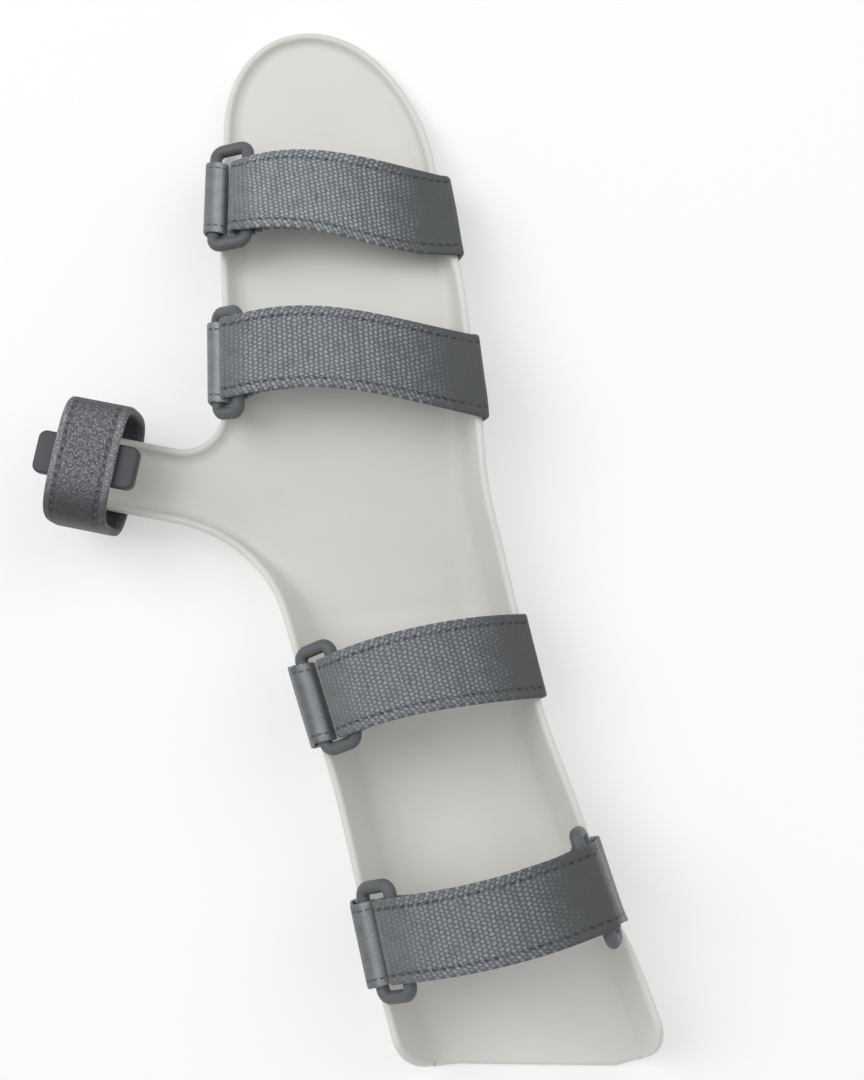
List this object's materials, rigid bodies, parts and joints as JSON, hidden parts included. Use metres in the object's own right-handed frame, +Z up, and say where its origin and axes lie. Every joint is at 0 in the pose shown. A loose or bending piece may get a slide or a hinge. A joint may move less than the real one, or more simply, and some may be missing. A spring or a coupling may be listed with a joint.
{
  "type": "wrist hand orthosis",
  "caption": "Resting wrist, hand and finger orthosis for a right hand: moulded tray with a thumb tongue, webbing straps on rings, and a thumb loop.",
  "frame": {"origin": "on the flat underside of the forearm trough, midway between its walls", "axes": "+Y along the forearm towards the fingers, +X towards the little-finger side, +Z up, away from the palm"},
  "size_m": [0.1812, 0.4195, 0.0616],
  "materials": {
    "shell": "smooth satin",
    "webbing": "woven",
    "ring": "smooth satin",
    "chape": "fine grain",
    "thumb_strap": "pebbled grain",
    "thumb_plate": "smooth satin"
  },
  "bodies": {
    "root": {"shell": "shell", "strap_forearm": "webbing", "strap_wrist": "webbing", "strap_hand": "webbing", "strap_fingers": "webbing", "ring_forearm": "ring", "ring_forearm_ulnar": "ring", "ring_wrist": "ring", "ring_hand": "ring", "ring_fingers": "ring", "chape_forearm": "chape", "chape_forearm_ulnar": "chape", "chape_wrist": "chape", "chape_hand": "chape", "chape_fingers": "chape", "thumb_strap": "thumb_strap", "thumb_plate": "thumb_plate"}
  },
  "joints": []
}
